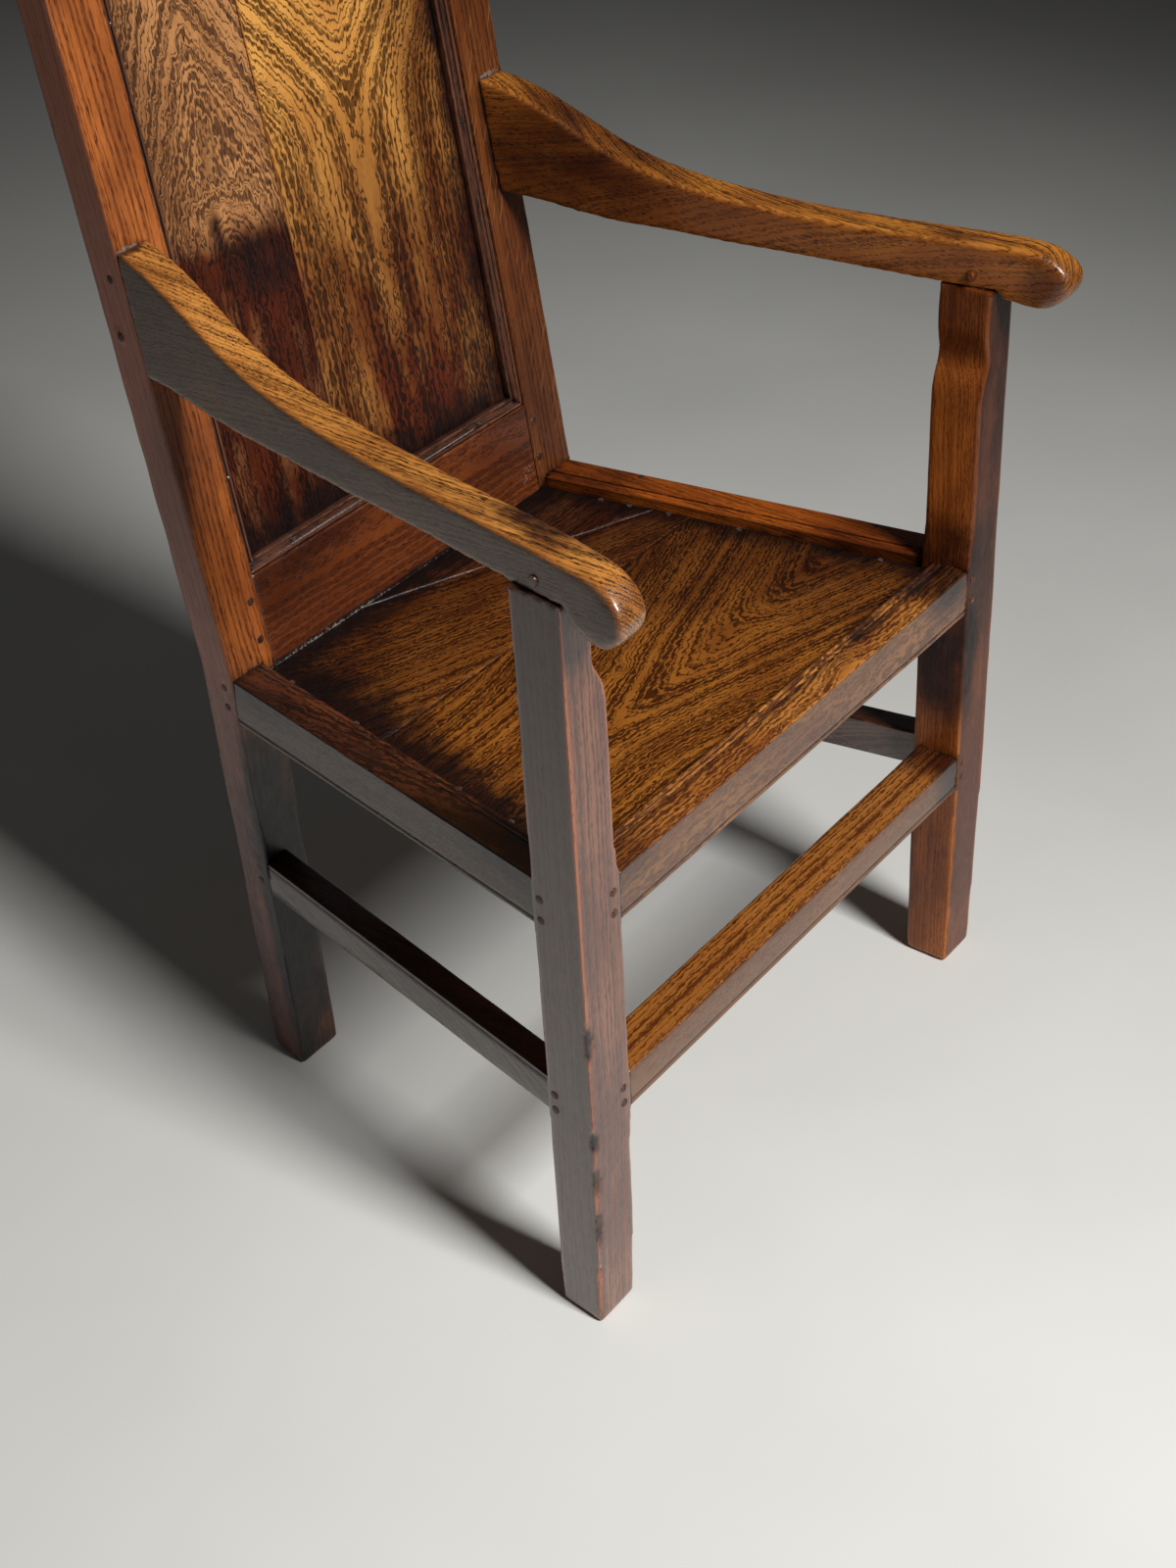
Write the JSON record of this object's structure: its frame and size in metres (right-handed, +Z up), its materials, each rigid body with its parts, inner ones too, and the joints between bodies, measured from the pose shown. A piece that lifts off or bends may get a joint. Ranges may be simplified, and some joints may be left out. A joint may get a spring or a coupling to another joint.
{
  "type": "wainscot armchair",
  "caption": "Joined oak armchair with a raked, panelled back, sawn open arms, square legs, low stretchers and a nailed board seat.",
  "frame": {"origin": "on the floor, at the centre of the bounding box's bottom face", "axes": "+Z up; -Y is the front, the way a sitter faces; +X is to the right as seen from the front, which is the sitter's left hand"},
  "size_m": [0.5908, 0.592, 1.0786],
  "materials": {
    "frame_oak": "old waxed oak, worn at the arrises",
    "board_oak": "old waxed oak boards, bold figure, dirt at the edges",
    "peg_oak": "riven oak pegs, end grain, waxed",
    "iron": "rusted wrought nails, heads rubbed bright"
  },
  "bodies": {
    "root": {"arm_left": "frame_oak", "arm_pegs": "peg_oak", "arm_right": "frame_oak", "back_bottom_rail": "frame_oak", "back_crest_rail": "frame_oak", "back_frame_pegs": "peg_oak", "back_panel_left": "board_oak", "back_panel_right": "board_oak", "back_stile_left": "frame_oak", "back_stile_right": "frame_oak", "front_post_left": "frame_oak", "front_post_right": "frame_oak", "front_seat_rail": "frame_oak", "front_stretcher": "frame_oak", "moulding_sprigs": "iron", "panel_moulding_bottom": "frame_oak", "panel_moulding_left": "frame_oak", "panel_moulding_right": "frame_oak", "panel_moulding_top": "frame_oak", "rail_tacks": "iron", "seat_board_back": "board_oak", "seat_board_front": "board_oak", "seat_board_middle": "board_oak", "seat_board_nails": "iron", "seat_frame_pegs": "peg_oak", "side_seat_rail_left": "frame_oak", "side_seat_rail_right": "frame_oak", "side_stretcher_left": "frame_oak", "side_stretcher_right": "frame_oak", "stretcher_pegs": "peg_oak"}
  },
  "joints": []
}
